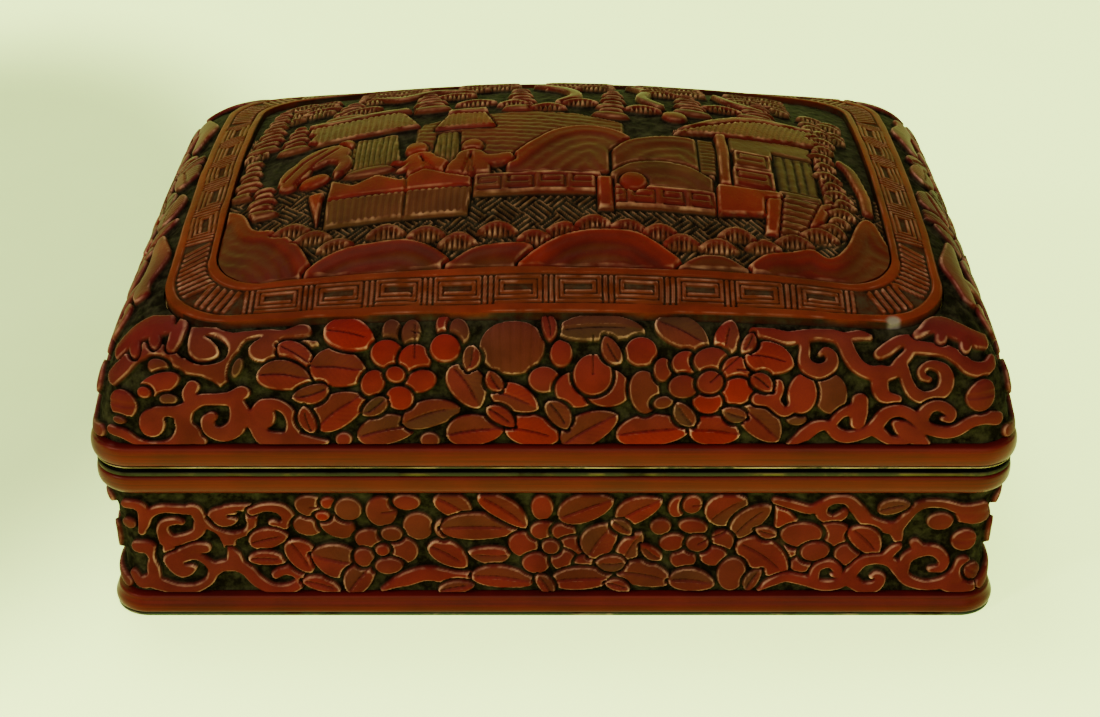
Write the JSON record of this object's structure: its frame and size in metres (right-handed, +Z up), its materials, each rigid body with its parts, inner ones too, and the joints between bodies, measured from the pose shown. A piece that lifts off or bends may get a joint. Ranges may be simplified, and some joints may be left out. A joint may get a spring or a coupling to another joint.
{
  "type": "carved lacquer box",
  "caption": "Rectangular carved red lacquer box on a brass body, with floral friezes, fret border, garden scene and a domed lift-off lid.",
  "frame": {"origin": "on the table under the middle of the closed box", "axes": "+X to the viewer's right along the front, +Y to the back, +Z up"},
  "size_m": [0.152, 0.104, 0.0696],
  "materials": {
    "cinnabar_lacquer": "polished carved lacquer",
    "cinnabar_lacquer_scene": "polished carved lacquer",
    "black_lacquer": "smooth black lacquer",
    "brass_sheet": "satin brass sheet",
    "tarnished_brass": "tarnished brass with green in the corners"
  },
  "bodies": {
    "base": {"base_rim_wire": "tarnished_brass", "base_upper_moulding": "cinnabar_lacquer", "base_frieze_front": "cinnabar_lacquer", "base_frieze_right": "cinnabar_lacquer", "base_frieze_back": "cinnabar_lacquer", "base_frieze_left": "cinnabar_lacquer", "base_foot_moulding": "cinnabar_lacquer", "base_foot_wire": "tarnished_brass", "base_brass_wall": "brass_sheet", "base_brass_bottom": "brass_sheet", "base_lip_band": "tarnished_brass", "base_black_lining": "black_lacquer", "base_black_underside": "black_lacquer"},
    "lid": {"lid_edge_wire": "brass_sheet", "lid_edge_moulding": "cinnabar_lacquer", "lid_frieze_front": "cinnabar_lacquer", "lid_frieze_right": "cinnabar_lacquer", "lid_frieze_back": "cinnabar_lacquer", "lid_frieze_left": "cinnabar_lacquer", "lid_fret_border": "cinnabar_lacquer", "lid_garden_scene": "cinnabar_lacquer_scene", "lid_brass_shell": "brass_sheet", "lid_black_lining": "black_lacquer"}
  },
  "joints": [
    {"name": "lid_lift", "type": "slide", "parent": "base", "child": "lid", "axis": [0, 0, 1], "range_m": [0, 0.06]}
  ]
}
